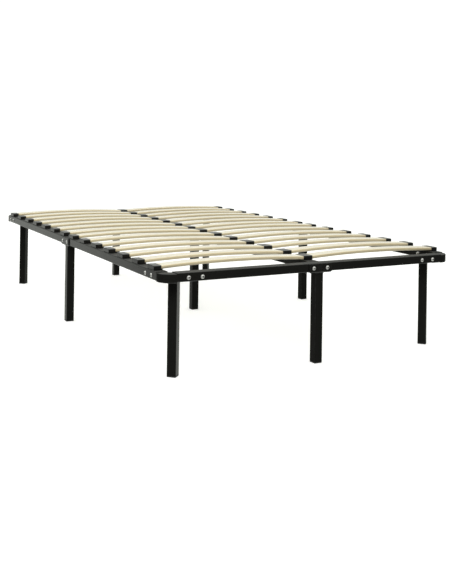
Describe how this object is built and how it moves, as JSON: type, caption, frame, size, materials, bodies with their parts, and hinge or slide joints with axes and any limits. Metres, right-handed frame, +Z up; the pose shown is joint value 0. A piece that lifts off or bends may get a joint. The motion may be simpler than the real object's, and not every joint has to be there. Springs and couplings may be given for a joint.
{
  "type": "metal bed frame",
  "caption": "Black powder-coated steel bed frame with rounded corners, square legs, a centre rail and two columns of bowed plywood slats in plastic holders.",
  "frame": {"origin": "on the floor, under the middle of the frame", "axes": "+X to the right seen from the foot end, +Y towards the head end, +Z up"},
  "size_m": [1.2162, 2.0162, 0.374],
  "materials": {
    "black_steel": "satin black powder coat",
    "slat_wood": "clear-lacquered bent birch plywood",
    "cap_plastic": "moulded, fine texture",
    "foot_plastic": "moulded",
    "fastener_zinc": "bright zinc plating",
    "sleeve_steel": "bare rolled steel"
  },
  "bodies": {
    "root": {"centre_leg": "black_steel", "centre_rail_foot": "black_steel", "centre_rail_head": "black_steel", "corner_bolts": "fastener_zinc", "corner_leg_foot_left": "black_steel", "corner_leg_foot_right": "black_steel", "corner_leg_head_left": "black_steel", "corner_leg_head_right": "black_steel", "corner_tube_foot_left": "black_steel", "corner_tube_foot_right": "black_steel", "corner_tube_head_left": "black_steel", "corner_tube_head_right": "black_steel", "end_leg_foot": "black_steel", "end_leg_head": "black_steel", "end_rail_foot_left": "black_steel", "end_rail_foot_right": "black_steel", "end_rail_head_left": "black_steel", "end_rail_head_right": "black_steel", "hex_nuts": "fastener_zinc", "leg_feet": "foot_plastic", "rail_joiners": "sleeve_steel", "saddle_bolts": "fastener_zinc", "side_leg_left": "black_steel", "side_leg_right": "black_steel", "side_rail_left_foot": "black_steel", "side_rail_left_head": "black_steel", "side_rail_right_foot": "black_steel", "side_rail_right_head": "black_steel", "slat_caps_centre": "cap_plastic", "slat_caps_left": "cap_plastic", "slat_caps_right": "cap_plastic", "slat_left_01": "slat_wood", "slat_left_02": "slat_wood", "slat_left_03": "slat_wood", "slat_left_04": "slat_wood", "slat_left_05": "slat_wood", "slat_left_06": "slat_wood", "slat_left_07": "slat_wood", "slat_left_08": "slat_wood", "slat_left_09": "slat_wood", "slat_left_10": "slat_wood", "slat_left_11": "slat_wood", "slat_left_12": "slat_wood", "slat_left_13": "slat_wood", "slat_left_14": "slat_wood", "slat_right_01": "slat_wood", "slat_right_02": "slat_wood", "slat_right_03": "slat_wood", "slat_right_04": "slat_wood", "slat_right_05": "slat_wood", "slat_right_06": "slat_wood", "slat_right_07": "slat_wood", "slat_right_08": "slat_wood", "slat_right_09": "slat_wood", "slat_right_10": "slat_wood", "slat_right_11": "slat_wood", "slat_right_12": "slat_wood", "slat_right_13": "slat_wood", "slat_right_14": "slat_wood"}
  },
  "joints": []
}
